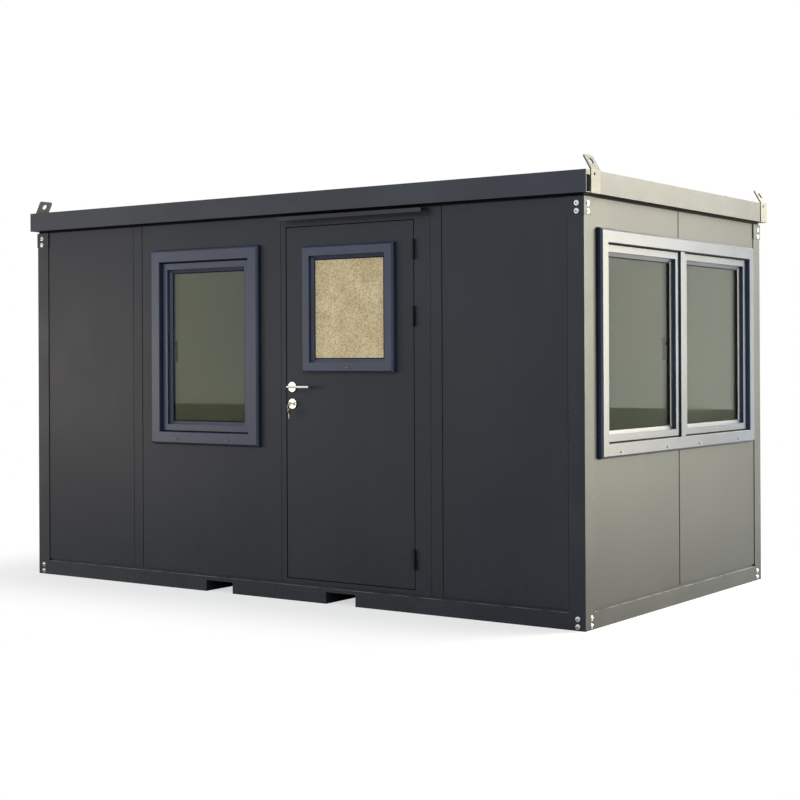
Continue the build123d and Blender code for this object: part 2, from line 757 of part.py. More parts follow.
def lug_stub(y_range):
    """The short box behind a lug's plate that ties it to the roof panel."""
    stub = block((inner_half_length, roof_half_length - lug_plate_thickness), y_range,
                 (fascia_bottom, fascia_top))
    wall = lug_stub_wall
    hollow = block((inner_half_length - 1, roof_half_length - lug_plate_thickness + 1),
                   (y_range[0] + wall, y_range[1] - wall), (fascia_bottom + wall, fascia_top - wall))
    return stub - hollow


front_lug = lifting_lug(front_lug_y) + lug_stub((-inner_half_width, front_lug_y[1]))
rear_lug = lifting_lug(rear_lug_y) + lug_stub((rear_lug_y[0], inner_half_width))
lugs = [front_lug, rear_lug]
lugs += [mirror(lug, about=Plane.YZ) for lug in lugs]
pieces["lifting_lugs"] = together(lugs)

os.makedirs("parts", exist_ok=True)
for name, piece in pieces.items():
    export_step(piece, f"parts/{name}.step")
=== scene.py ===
import math
import bmesh
import bpy
from mathutils import Matrix, Vector


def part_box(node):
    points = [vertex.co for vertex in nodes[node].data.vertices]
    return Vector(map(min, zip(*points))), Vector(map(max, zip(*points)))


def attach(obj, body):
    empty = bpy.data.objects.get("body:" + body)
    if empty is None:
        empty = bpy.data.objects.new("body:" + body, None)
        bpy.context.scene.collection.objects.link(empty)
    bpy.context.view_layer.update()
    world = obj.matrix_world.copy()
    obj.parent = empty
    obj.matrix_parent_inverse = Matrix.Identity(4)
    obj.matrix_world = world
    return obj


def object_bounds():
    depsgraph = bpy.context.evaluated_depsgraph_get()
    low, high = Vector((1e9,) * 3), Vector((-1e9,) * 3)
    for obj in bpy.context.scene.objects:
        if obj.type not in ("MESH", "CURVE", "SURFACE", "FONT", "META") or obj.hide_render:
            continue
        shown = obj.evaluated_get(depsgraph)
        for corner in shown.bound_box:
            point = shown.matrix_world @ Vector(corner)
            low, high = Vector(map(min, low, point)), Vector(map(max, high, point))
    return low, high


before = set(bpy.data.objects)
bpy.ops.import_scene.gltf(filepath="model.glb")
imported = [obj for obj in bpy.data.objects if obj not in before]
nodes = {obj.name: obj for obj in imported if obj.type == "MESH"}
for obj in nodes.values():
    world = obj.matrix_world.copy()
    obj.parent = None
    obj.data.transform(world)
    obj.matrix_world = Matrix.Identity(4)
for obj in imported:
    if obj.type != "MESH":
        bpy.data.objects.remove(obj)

cad_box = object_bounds()
scene = bpy.context.scene

# Camera
# The camera stands at chest height, off the corner between the front and the end with the double
# window, and is held level so that uprights stay upright.
camera_data = bpy.data.cameras.new("camera")
camera_data.sensor_width = 36.0
camera_data.lens = 71.288
camera_data.shift_x = 0.0002
camera_data.shift_y = -0.0565
camera = bpy.data.objects.new("camera", camera_data)
scene.collection.objects.link(camera)
camera_place = (5.792, -8.166, 1.381)
camera_yaw = 0.61163
camera_pitch = 0.0015523
camera_roll = -0.0047413
camera.matrix_world = (
    Matrix.Translation(camera_place)
    @ Matrix.Rotation(camera_yaw, 4, "Z")
    @ Matrix.Rotation(math.pi / 2 + camera_pitch, 4, "X")
    @ Matrix.Rotation(camera_roll, 4, "Z")
)
scene.camera = camera
scene.view_settings.view_transform = "Standard"


# Shader tools, first needed for the floor
class Signal:
    """A shader socket. An expression on signals and numbers adds its Math nodes."""

    def __init__(self, finish, socket):
        self.finish = finish
        self.socket = socket

    def math(self, operation, first, second=0.0):
        return self.finish.node("ShaderNodeMath", {"operation": operation}, {0: first, 1: second})

    def __add__(self, other):
        return self.math("ADD", self, other)

    def __radd__(self, other):
        return self.math("ADD", other, self)

    def __sub__(self, other):
        return self.math("SUBTRACT", self, other)

    def __rsub__(self, other):
        return self.math("SUBTRACT", other, self)

    def __mul__(self, other):
        return self.math("MULTIPLY", self, other)

    def __rmul__(self, other):
        return self.math("MULTIPLY", other, self)

    def __pow__(self, other):
        return self.math("POWER", self, other)

    def __lt__(self, other):
        return self.math("LESS_THAN", self, other)

    def __gt__(self, other):
        return self.math("GREATER_THAN", self, other)

    def __abs__(self):
        return self.math("ABSOLUTE", self)

    def ramp(self, low, high):
        """0 below low and 1 above high, with a smooth rise between them."""
        return self.finish.node("ShaderNodeMapRange", {"interpolation_type": "SMOOTHSTEP"},
                                {"Value": self, "From Min": low, "From Max": high})


class Finish:
    """A material, and the one way its nodes are added."""

    def __init__(self, name, owner=None):
        self.material = owner or bpy.data.materials.new(name)
        self.material.use_nodes = True
        self.tree = self.material.node_tree
        self.tree.nodes.clear()

    def node(self, kind, settings=None, sockets=None, output=0):
        """Add a node: its settings first, then the values or links of its sockets."""
        made = self.tree.nodes.new(kind)
        for name, value in (settings or {}).items():
            setattr(made, name, value)
        for name, value in (sockets or {}).items():
            if isinstance(value, Signal):
                self.tree.links.new(value.socket, made.inputs[name])
            else:
                made.inputs[name].default_value = value
        return Signal(self, made.outputs[output]) if made.outputs else None

    def place(self, squeeze=(1.0, 1.0, 1.0)):
        """Where the surface is in the cabin's own frame, in metres, with each axis scaled."""
        where = self.node("ShaderNodeTexCoord", output="Object")
        return self.node("ShaderNodeVectorMath", {"operation": "MULTIPLY"}, {0: where, 1: squeeze})

    def axes(self):
        """X, Y and Z of the surface in the cabin's own frame."""
        where = self.place()
        return [self.node("ShaderNodeSeparateXYZ", sockets={0: where}, output=axis) for axis in "XYZ"]

    def noise(self, scale, detail=2.0, roughness=0.5, squeeze=(1.0, 1.0, 1.0)):
        return self.node("ShaderNodeTexNoise", {"noise_dimensions": "3D"},
                         {"Vector": self.place(squeeze), "Scale": scale, "Detail": detail,
                          "Roughness": roughness})

    def blend(self, share, first, second):
        """From the first colour to the second as share goes from 0 to 1."""
        return self.node("ShaderNodeMix", {"data_type": "RGBA"}, {0: share, 6: first, 7: second}, 2)

    def bump(self, height, distance, strength=1.0):
        return self.node("ShaderNodeBump",
                         sockets={"Height": height, "Distance": distance, "Strength": strength})

    def show(self, kind, **sockets):
        """Put a surface shader on the output, with its sockets named with _ for each space."""
        named = {name.replace("_", " "): value for name, value in sockets.items()}
        shader = self.node(kind, sockets=named)
        self.node("ShaderNodeOutputMaterial", sockets={"Surface": shader})
        return self


def grey(level):
    return (level, level, level, 1.0)


# Floor and light
# A pale floor that keeps the soft shadow round the base, and fades to the white background. The
# sky is seen and mirrored white and gives a weaker light; two large soft lamps light the end with
# the double window, and three weaker ones the front.
floor_half = 30.0
floor_level = 0.42
floor_glow = 0.60
floor_mesh = bmesh.new()
bmesh.ops.create_grid(floor_mesh, x_segments=1, y_segments=1, size=floor_half)
floor_data = bpy.data.meshes.new("studio_floor")
floor_mesh.to_mesh(floor_data)
floor_mesh.free()
studio_floor = bpy.data.objects.new("studio_floor", floor_data)
scene.collection.objects.link(studio_floor)

floor_fade_start = 0.05
floor_fade_end = 1.10
pale_floor = Finish("pale_floor")
x, y, _ = pale_floor.axes()
high_corner = cad_box[1]
beyond_x = pale_floor.node("ShaderNodeMath", {"operation": "MAXIMUM"},
                           {0: abs(x) - high_corner.x, 1: 0.0})
beyond_y = pale_floor.node("ShaderNodeMath", {"operation": "MAXIMUM"},
                           {0: abs(y) - high_corner.y, 1: 0.0})
distance = (beyond_x * beyond_x + beyond_y * beyond_y) ** 0.5
seen = pale_floor.node("ShaderNodeLightPath", output="Is Camera Ray")
matt = pale_floor.node("ShaderNodeBsdfDiffuse", sockets={"Color": grey(floor_level)})
glow = pale_floor.node("ShaderNodeEmission",
                       sockets={"Color": grey(1.0), "Strength": seen * floor_glow})
lit = pale_floor.node("ShaderNodeAddShader", sockets={0: matt, 1: glow})
white = pale_floor.node("ShaderNodeEmission", sockets={"Color": grey(1.0), "Strength": 1.0})
mixed = pale_floor.node("ShaderNodeMixShader",
                        sockets={0: distance.ramp(floor_fade_start, floor_fade_end) * seen,
                                 1: lit, 2: white})
pale_floor.node("ShaderNodeOutputMaterial", sockets={"Surface": mixed})
floor_data.materials.append(pale_floor.material)

world = bpy.data.worlds.new("studio")
scene.world = world
sky = Finish("studio", owner=world)
ambient_level = 0.57
camera_ray = sky.node("ShaderNodeLightPath", output="Is Camera Ray")
glossy_ray = sky.node("ShaderNodeLightPath", output="Is Glossy Ray")
transmission_ray = sky.node("ShaderNodeLightPath", output="Is Transmission Ray")
background_seen = (camera_ray + glossy_ray + transmission_ray) > 0.5
sky_light = sky.node("ShaderNodeBackground",
                     sockets={"Color": grey(1.0),
                              "Strength": background_seen * (1.0 - ambient_level) + ambient_level})
sky.node("ShaderNodeOutputWorld", sockets={"Surface": sky_light})


def area_lamp(name, place, target, width, height, watts, colour):
    """A large soft lamp that faces a point."""
    data = bpy.data.lights.new(name, "AREA")
    data.shape = "RECTANGLE"
    data.size = width
    data.size_y = height
    data.energy = watts
    data.color = colour
    lamp = bpy.data.objects.new(name, data)
    scene.collection.objects.link(lamp)
    lamp.location = place
    lamp.rotation_euler = (Vector(target) - Vector(place)).to_track_quat("-Z", "Y").to_euler()


end_wall_middle = (1.99, -0.1, 1.1)
front_wall_middle = (0.0, -1.1, 1.2)
front_wall_left = (-1.5, -1.1, 1.3)
front_wall_right = (0.9, -1.1, 1.2)
end_light = (1.0, 0.93, 0.77)
end_side_light = (1.0, 0.94, 0.70)
cool_light = (0.66, 0.84, 1.0)
warm_light = (1.0, 0.87, 0.72)
area_lamp("end_lamp", (6.4, 7.6, 6.0), end_wall_middle, 6.0, 4.0, 1600.0, end_light)
area_lamp("end_side_lamp", (7.5, 4.2, 1.7), end_wall_middle, 5.0, 3.0, 1040.0, end_side_light)
area_lamp("front_lamp", (-1.5, -9.0, 5.0), front_wall_middle, 4.0, 3.0, 115.0, cool_light)
area_lamp("front_side_lamp", (-6.5, -5.2, 1.25), front_wall_left, 1.8, 1.2, 80.0, warm_light)
area_lamp("front_low_lamp", (-3.9, -8.4, 1.05), front_wall_right, 4.0, 0.9, 34.0, warm_light)


# Base frame
# Rolled channels welded to the feet of the posts, with two fork pockets through them and square
# bearers under the floor. Shot-blasted steel, primed and sprayed in anthracite satin paint.
anthracite = (0.012, 0.017, 0.026, 1.0)
anthracite_worn = (0.025, 0.030, 0.040, 1.0)
dust_colour = (0.17, 0.155, 0.13, 1.0)
chip_and_highlight_colour = (0.42, 0.42, 0.41, 1.0)
underside_shade_colour = (0.002, 0.002, 0.003, 1.0)
dust_foot = 0.02
dust_head = 0.30
ledge_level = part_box("base_rail_front")[1].z
ledge_start = 0.0022
ledge_full = 0.0006
ledge_over = 0.0005
post_inner_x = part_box("base_rail_front")[1].x
post_inner_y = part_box("base_rail_right")[1].y


def dress(finish, *names):
    """Give CAD nodes a finish."""
    for name in names:
        for slot in nodes[name].material_slots:
            slot.material = finish.material


def painted_steel(name, chips, roughness, fresh=anthracite, worn=anthracite_worn, shaded_below=-1.0):
    """Sprayed satin paint: soft mottle, fine orange peel, dust near the ground, chips, a painted highlight
    on the rails' top ledge, and painted shade below a given level.
    """
    paint = Finish(name)
    x, y, z = paint.axes()
    mottle = paint.noise(2.1, 4.0, 0.55).ramp(0.35, 0.72)
    streak = paint.noise(5.0, 3.0, 0.6, (1.0, 1.0, 0.12)).ramp(0.52, 0.80)
    colour = paint.blend(mottle * 0.7 + streak * 0.3, fresh, worn)
    near_ground = 1.0 - z.ramp(dust_foot, dust_head)
    dust = paint.noise(38.0, 5.0, 0.7).ramp(0.48, 0.78) * near_ground
    colour = paint.blend(dust * 0.16, colour, dust_colour)
    speck = paint.noise(150.0, 2.0, 0.5).ramp(0.735, 0.75) * paint.noise(6.0, 2.0).ramp(0.5, 0.62)
    colour = paint.blend(speck * chips, colour, chip_and_highlight_colour)
    # Painted highlight: the top ledge of the base rails, which faces up into the light, is made lighter and
    # broken up by noise.
    lit_ledge = z.ramp(ledge_level - ledge_start, ledge_level - ledge_full) * (z < ledge_level + ledge_over)
    on_rail = 1.0 - (abs(x) > post_inner_x) * (abs(y) > post_inner_y)
    ledge_highlight = paint.noise(9.0, 4.0, 0.7).ramp(0.30, 0.62) * lit_ledge * on_rail
    colour = paint.blend(ledge_highlight * 0.55, colour, chip_and_highlight_colour)
    # Painted shade: below the given level the paint turns near black, for the shade under the roof channels.
    colour = paint.blend(z < shaded_below, colour, underside_shade_colour)
    peel = paint.noise(420.0, 2.0, 0.5) + paint.noise(14.0, 2.0) * 2.0
    rough = paint.noise(3.4, 3.0, 0.6) * 0.16 + (roughness - 0.02) + dust * 0.20
    return paint.show("ShaderNodeBsdfPrincipled", Base_Color=colour, Roughness=rough,
                      Specular_IOR_Level=0.34, Normal=paint.bump(peel, 0.00035, 0.5))


frame_paint = painted_steel("frame_paint", 0.9, 0.42)
dress(frame_paint, "base_rail_front", "base_rail_rear", "base_rail_left", "base_rail_right")
under_paint = painted_steel("under_paint", 0.6, 0.60)
dress(under_paint, "fork_channels", "floor_bearers")

# Floor deck
# A cement-bonded board screwed to the bearers, covered with a speckled grey-brown vinyl sheet
# that is welded at its joints.
vinyl_dark = (0.16, 0.14, 0.12, 1.0)
vinyl_light = (0.27, 0.25, 0.22, 1.0)
vinyl_worn = (0.33, 0.30, 0.27, 1.0)
vinyl = Finish("floor_vinyl")
speckle = vinyl.noise(160.0, 2.0, 0.6).ramp(0.44, 0.60)
patch = vinyl.noise(1.7, 3.0, 0.5)
vinyl_colour = vinyl.blend(speckle, vinyl_dark, vinyl_light)
vinyl_colour = vinyl.blend(patch * 0.3, vinyl_colour, vinyl_worn)
vinyl.show("ShaderNodeBsdfPrincipled", Base_Color=vinyl_colour, Roughness=0.45 + patch * 0.15,
           Normal=vinyl.bump(speckle, 0.0003, 0.4))
dress(vinyl, "floor_deck")

# Posts
# Cold-folded steel angles with boxed feet that stand at the four corners. They are welded to
# the base rails and sprayed with them.
dress(frame_paint, "post_front_left", "post_front_right", "post_rear_left", "post_rear_right")

# Head brackets
# Steel plates folded round the heads of the posts, which tie the roof frame to them.
# They are sprayed in the same paint before they are bolted on.
dress(frame_paint, "head_brackets")

# Bolts of the posts
# Zinc-plated button-head bolts with a hexagon socket, each on a turned washer. Two go through
# each face of a post into the base frame, and two through each leg of a head bracket.
post_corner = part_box("post_front_right")
bracket_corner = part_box("head_brackets")
bracket_bolt_levels = (2.1535, 2.1130)
foot_bolt_levels = (0.0595, 0.0207)
bracket_bolt_inset = (0.0405, 0.0350)
foot_bolt_inset = (0.0455, 0.0620)
bolt_size = 1.1
bolt_sides = 24
washer_profile = [(0.0125, 0.0), (0.0125, 0.0014), (0.0118, 0.0022), (0.0085, 0.0022)]
head_profile = [(0.0085, 0.0022), (0.0085, 0.0034), (0.0079, 0.0052), (0.0066, 0.0065), (0.0046, 0.0070)]
socket_across = 0.0036
socket_depth = 0.0040
zinc_dark = (0.62, 0.63, 0.65, 1.0)
zinc_light = (0.82, 0.82, 0.81, 1.0)
# Painted shade for the inside of the bolts' sockets, near black.
socket_shade_dark = (0.004, 0.004, 0.004, 1.0)
socket_shade_light = (0.012, 0.011, 0.010, 1.0)


def new_piece(name, mesh, finish, body="cabin"):
    """Turn a bmesh drawn in the cabin's frame into a piece that rides on a body."""
    bmesh.ops.recalc_face_normals(mesh, faces=mesh.faces)
    data = bpy.data.meshes.new(name)
    mesh.to_mesh(data)
    mesh.free()
    data.materials.append(finish.material)
    piece = bpy.data.objects.new(name, data)
    scene.collection.objects.link(piece)
    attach(piece, body)
    return piece


def facing(direction):
    """The turn that points +Z along a direction."""
    return Vector(direction).to_track_quat("Z", "Y").to_matrix().to_4x4()


def join_rings(mesh, lower, upper):
    """Faces between two rings of corners that have the same count."""
    for step in range(len(lower)):
        after = (step + 1) % len(lower)
        mesh.faces.new((lower[step], lower[after], upper[after], upper[step]))


def ring_stack(mesh, place, rings):
    """Join rings of points, each given as a list, by faces, and close the first and last."""
    made = [[mesh.verts.new(place @ Vector(point)) for point in ring] for ring in rings]
    for lower, upper in zip(made[:-1], made[1:]):
        join_rings(mesh, lower, upper)
    mesh.faces.new(made[0][::-1])
    return made, mesh.faces.new(made[-1])


def circle_points(radius, height, sides):
    return [(radius * math.cos(math.tau * step / sides), radius * math.sin(math.tau * step / sides), height)
            for step in range(sides)]


def hexagon_points(across, height, sides):
    points = []
    for step in range(sides):
        angle = math.tau * step / sides
        reach = across / math.cos(angle % (math.tau / 6) - math.tau / 12)
        points.append((reach * math.cos(angle), reach * math.sin(angle), height))
    return points


def add_bolt(mesh, place):
    """A washer and a button head with a hexagon socket, both standing on the origin."""
    outline = washer_profile + head_profile[1:]
    rings = [circle_points(radius * bolt_size, height * bolt_size, bolt_sides) for radius, height in outline]
    for depth in (0.0, socket_depth):
        level = (head_profile[-1][1] - depth) * bolt_size
        rings.append(hexagon_points(socket_across * bolt_size, level, bolt_sides))
    made, floor = ring_stack(mesh, place, rings)
    # The socket's walls and floor take the second material, a painted shade.
    floor.material_index = 1
    for corner in made[-1]:
        for face in corner.link_faces:
            face.material_index = 1


zinc = Finish("zinc_plate")
zinc_patch = zinc.noise(60.0, 3.0, 0.6)
zinc_colour = zinc.blend(zinc_patch.ramp(0.35, 0.7), zinc_dark, zinc_light)
zinc.show("ShaderNodeBsdfPrincipled", Base_Color=zinc_colour, Metallic=1.0,
          Roughness=zinc_patch * 0.20 + 0.26, Normal=zinc.bump(zinc_patch, 0.0002, 0.3))

post_bolts = bmesh.new()
bolt_rows = ((bracket_bolt_levels, bracket_bolt_inset, bracket_corner[1]),
             (foot_bolt_levels, foot_bolt_inset, Vector((post_corner[1].x, -post_corner[0].y, 0.0))))
for side_x in (-1, 1):
    for side_y in (-1, 1):
        for levels, (long_inset, end_inset), face in bolt_rows:
            long_x = (post_corner[1].x - long_inset) * side_x
            end_y = (-post_corner[0].y - end_inset) * side_y
            for level in levels:
                on_long = Matrix.Translation((long_x, face.y * side_y, level)) @ facing((0, side_y, 0))
                on_end = Matrix.Translation((face.x * side_x, end_y, level)) @ facing((side_x, 0, 0))
                add_bolt(post_bolts, on_long)
                add_bolt(post_bolts, on_end)
# Painted shade: a near-black matt material for the inside of the hexagon sockets.
socket_shade_finish = Finish("socket_shade")
socket_shade_grain = socket_shade_finish.noise(500.0, 2.0)
socket_shade_finish.show("ShaderNodeBsdfPrincipled",
           Base_Color=socket_shade_finish.blend(socket_shade_grain, socket_shade_dark, socket_shade_light),
           Roughness=0.9, Specular_IOR_Level=0.06, Normal=socket_shade_finish.bump(socket_shade_grain, 0.0002, 0.4))
bolt_piece = new_piece("post_bolts", post_bolts, zinc)
bolt_piece.data.materials.append(socket_shade_finish.material)

# Wall panels
# Sandwich panels, 60 mm thick, of two coated steel sheets on a foam core. The outer sheet is
# anthracite and the inner one white; they stand on the base rails and meet in plain joints.
panel_lap = 0.0045
leaf_lap = 0.0025
inside_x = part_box("right_panel_front")[0].x + panel_lap
inside_y = panel_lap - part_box("front_panel_left")[1].y
leaf_inside_y = leaf_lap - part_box("door_leaf")[1].y
sheet_dust_foot = 0.06
sheet_dust_head = 0.75
panel_white = (0.72, 0.72, 0.70, 1.0)


def coated_sheet(name, leaf=False):
    """Coil-coated sheet: dark outside, white inside, faintly dented and dusty near the ground."""
    coat = Finish(name)
    x, y, z = coat.axes()
    inside = (abs(x) < inside_x) * (abs(y) < (leaf_inside_y if leaf else inside_y))
    mottle = coat.noise(1.3, 4.0, 0.6).ramp(0.30, 0.75)
    streak = coat.noise(7.0, 3.0, 0.65, (1.0, 1.0, 0.06)).ramp(0.50, 0.85)
    outer = coat.blend(mottle * 0.65 + streak * 0.35, anthracite, anthracite_worn)
    dust = coat.noise(30.0, 5.0, 0.7).ramp(0.42, 0.80) * (1.0 - z.ramp(sheet_dust_foot, sheet_dust_head))
    outer = coat.blend(dust * 0.09, outer, dust_colour)
    speck = coat.noise(190.0, 2.0, 0.5).ramp(0.755, 0.765) * coat.noise(3.0, 2.0).ramp(0.45, 0.62)
    outer = coat.blend(speck * 0.55, outer, chip_and_highlight_colour)
    colour = coat.blend(inside, outer, panel_white)
    wave = coat.noise(1.1, 2.0, 0.4) * 9.0 + coat.noise(480.0, 2.0, 0.5) * 0.35
    rough = coat.noise(2.6, 4.0, 0.6) * 0.15 + 0.40 + dust * 0.15
    return coat.show("ShaderNodeBsdfPrincipled", Base_Color=colour, Roughness=rough,
                     Specular_IOR_Level=0.30, Normal=coat.bump(wave, 0.0005, 0.6))


panel_coat = coated_sheet("panel_coat")
dress(panel_coat, "front_panel_left", "front_panel_window", "front_panel_beside_door",
      "front_panel_right", "rear_panel_left", "rear_panel_middle_left", "rear_panel_middle_right",
      "rear_panel_right", "left_panel_front", "left_panel_rear", "right_panel_front",
      "right_panel_rear")

# Windows
# Mitred and welded PVC profiles with an anthracite foil, a fixed frame and an inward-opening
# sash; the double window has two sashes on one mullion. They are screwed into the wall panels.
foil_dark = (0.022, 0.034, 0.071, 1.0)
foil_light = (0.034, 0.050, 0.099, 1.0)
foil = Finish("window_profile")
cloud = foil.noise(2.7, 4.0, 0.6)
grain = foil.noise(900.0, 2.0, 0.5, (1.0, 1.0, 0.25))
foil.show("ShaderNodeBsdfPrincipled", Base_Color=foil.blend(cloud.ramp(0.3, 0.7), foil_dark, foil_light),
          Roughness=cloud * 0.12 + 0.32, Specular_IOR_Level=0.5, Normal=foil.bump(grain, 0.0002, 0.35))
dress(foil, "front_window_frame", "front_window_sash", "end_window_frame", "end_window_sashes",
      "door_window_frame")

# Window glass
# Sealed double glazing of clear float glass with a slight green tint and a soft bloom of dust.
# The pane in the door is ornament glass, rolled with fine wavy ridges and tinted bronze.
glass_tint = (0.70, 0.77, 0.58, 1.0)
bronze_dark = (0.68, 0.54, 0.29, 1.0)
bronze_light = (0.84, 0.69, 0.41, 1.0)
ridge_colour = (0.20, 0.13, 0.05, 1.0)
glazing = Finish("glazing")
bloom = glazing.noise(2.3, 4.0, 0.6)
glazing.show("ShaderNodeBsdfPrincipled", Base_Color=glass_tint,
             Roughness=bloom.ramp(0.35, 0.8) * 0.05 + 0.01, IOR=1.5, Transmission_Weight=1.0)
dress(glazing, "front_window_glass", "end_window_glass")
ornament = Finish("ornament_glass")
fine = ornament.noise(52.0, 3.0, 0.60)
ridge = 1.0 - abs(fine - 0.5).ramp(0.004, 0.042)
broad = ornament.noise(7.0, 3.0, 0.6)
ornament_colour = ornament.blend(broad.ramp(0.3, 0.7), bronze_dark, bronze_light)
ornament_colour = ornament.blend(ridge * 0.72, ornament_colour, ridge_colour)
ornament.show("ShaderNodeBsdfPrincipled", Base_Color=ornament_colour, Roughness=0.22 + ridge * 0.15,
              Normal=ornament.bump(fine, 0.0015, 0.6))
dress(ornament, "door_window_glass")

# Window gaskets
# Black rubber seals pressed into the profiles: one between frame and sash, and one that the
# double glazing is bedded in.
rubber_dark = (0.006, 0.006, 0.007, 1.0)
rubber_light = (0.014, 0.014, 0.015, 1.0)
rubber = Finish("rubber")
rubber_grain = rubber.noise(300.0, 2.0)
rubber.show("ShaderNodeBsdfPrincipled",
            Base_Color=rubber.blend(rubber_grain, rubber_dark, rubber_light),
            Roughness=0.85, Specular_IOR_Level=0.06, Normal=rubber.bump(rubber_grain, 0.0003, 0.4))

front_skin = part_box("front_panel_left")[0].y
end_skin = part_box("right_panel_front")[1].x
to_front_wall = Matrix.Translation((0.0, front_skin, 0.0))
to_end_wall = Matrix.Translation((end_skin, 0.0, 0.0)) @ Matrix.Rotation(math.pi / 2, 4, "Z")


def face_depth(node, wall):
    """How deep the outer face of a node lies behind the skin of its wall."""
    return min((wall.inverted() @ corner).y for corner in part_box(node))


def wall_rectangle(node, wall):
    """The middle, width and height of a node in the X and Z of its own wall."""
    low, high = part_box(node)
    first = wall.inverted() @ low
    second = wall.inverted() @ high
    middle = (first + second) / 2
    return middle.x, middle.z, abs(second.x - first.x), abs(second.z - first.z)


def add_ring(mesh, wall, rectangle, profile):
    """A rectangular ring on a wall, of a profile of inset and depth points, mitred at its corners."""
    centre, middle, width, height = rectangle
    loops = []
    for inset, depth in profile:
        across = width / 2 - inset
        up = height / 2 - inset
        corners = [(-across, -up), (across, -up), (across, up), (-across, up)]
        loops.append([mesh.verts.new(wall @ Vector((centre + a, depth, middle + b))) for a, b in corners])
    for low, high in zip(loops, loops[1:] + loops[:1]):
        join_rings(mesh, low, high)


def bead(inset, width, front, back):
    """A rounded bead's profile, between two depths."""
    edge = width * 0.3
    return [(inset, back), (inset, front + edge), (inset + edge, front), (inset + width - edge, front),
            (inset + width, front + edge), (inset + width, back)]


mullion_face = 0.056
sash_seal_inset = 0.0003
sash_seal_width = 0.0074
sash_seal_front = -0.003
sash_seal_back = 0.001
sash_seal = bead(sash_seal_inset, sash_seal_width, sash_seal_front, sash_seal_back)
glass_seal_inset = 0.0121
glass_seal_width = 0.005
glass_seal_proud = 0.0035
glass_seal_bite = 0.0002


def split_pair(rectangle, gap):
    """The two equal rectangles that stand side by side, a gap apart, in one rectangle."""
    centre, middle, width, height = rectangle
    single = (width - gap) / 2
    return [(centre + side * (single + gap) / 2, middle, single, height) for side in (-1, 1)]


def glass_seal(pane, wall):
    """The bead between the face of a pane and the profile that covers the pane's edge."""
    front = face_depth(pane, wall)
    return bead(glass_seal_inset, glass_seal_width, front - glass_seal_proud, front - glass_seal_bite)


gaskets = bmesh.new()
sash_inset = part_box("end_window_sashes")[1].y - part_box("end_window_glass")[1].y
end_sashes = split_pair(wall_rectangle("end_window_sashes", to_end_wall), mullion_face)
end_panes = split_pair(wall_rectangle("end_window_glass", to_end_wall), mullion_face + 2 * sash_inset)
front_sash = wall_rectangle("front_window_sash", to_front_wall)
front_pane = wall_rectangle("front_window_glass", to_front_wall)
for wall, glass, sashes, panes in [(to_front_wall, "front_window_glass", [front_sash], [front_pane]),
                                   (to_end_wall, "end_window_glass", end_sashes, end_panes)]:
    for sash, pane in zip(sashes, panes):
        add_ring(gaskets, wall, sash, sash_seal)
        add_ring(gaskets, wall, pane, glass_seal(glass, wall))
new_piece("window_gaskets", gaskets, rubber)

door_gasket = bmesh.new()
door_pane = wall_rectangle("door_window_glass", to_front_wall)
add_ring(door_gasket, to_front_wall, door_pane, glass_seal("door_window_glass", to_front_wall))
new_piece("door_glass_gasket", door_gasket, rubber, "door")

# Drainage caps
# Moulded hoods, clipped over the drainage slots in the lower member of each window frame, in
# grey plastic with bevelled edges.
cap_half_length = 0.010
cap_radius = 0.0042
cap_height = 0.0060
cap_shoulder = 0.6
cap_crown_length = 0.92
cap_crown_radius = 0.72
cap_sides = 24
front_cap_level = 0.900
front_cap_places = (-0.765, -0.363)
end_cap_level = 0.885
end_cap_places = (-0.781, -0.229, 0.188, 0.736)
door_cap_level = 1.324
door_cap_place = 0.522
cap_dark = (0.10, 0.11, 0.13, 1.0)
cap_light = (0.14, 0.15, 0.17, 1.0)


def oblong_points(half_length, radius, height, sides):
    """A ring with straight sides and round ends."""
    points = []
    for step in range(sides):
        angle = math.tau * (step + 0.5) / sides
        shift = half_length if math.cos(angle) > 0 else -half_length
        points.append((shift + radius * math.cos(angle), radius * math.sin(angle), height))
    return points


def add_caps(mesh, wall, frame_node, level, places):
    """Caps that stand on the face of a window frame, at a level and at places along its wall."""
    outward = Matrix.Rotation(math.pi / 2, 4, "X")
    for along in places:
        place = wall @ Matrix.Translation((along, face_depth(frame_node, wall), level)) @ outward
        rings = [oblong_points(cap_half_length, cap_radius, 0.0, cap_sides),
                 oblong_points(cap_half_length, cap_radius, cap_height * cap_shoulder, cap_sides),
                 oblong_points(cap_half_length * cap_crown_length, cap_radius * cap_crown_radius, cap_height,
                               cap_sides)]
        ring_stack(mesh, place, rings)


cap_plastic = Finish("cap_plastic")
cap_grain = cap_plastic.noise(240.0, 2.0)
cap_plastic.show("ShaderNodeBsdfPrincipled",
                 Base_Color=cap_plastic.blend(cap_grain, cap_dark, cap_light),
                 Roughness=0.40, Normal=cap_plastic.bump(cap_grain, 0.0002, 0.3))
window_caps = bmesh.new()
add_caps(window_caps, to_front_wall, "front_window_frame", front_cap_level, front_cap_places)
add_caps(window_caps, to_end_wall, "end_window_frame", end_cap_level, end_cap_places)
new_piece("drainage_caps", window_caps, cap_plastic)
door_caps = bmesh.new()
add_caps(door_caps, to_front_wall, "door_window_frame", door_cap_level, [door_cap_place])
new_piece("door_drainage_cap", door_caps, cap_plastic, "door")

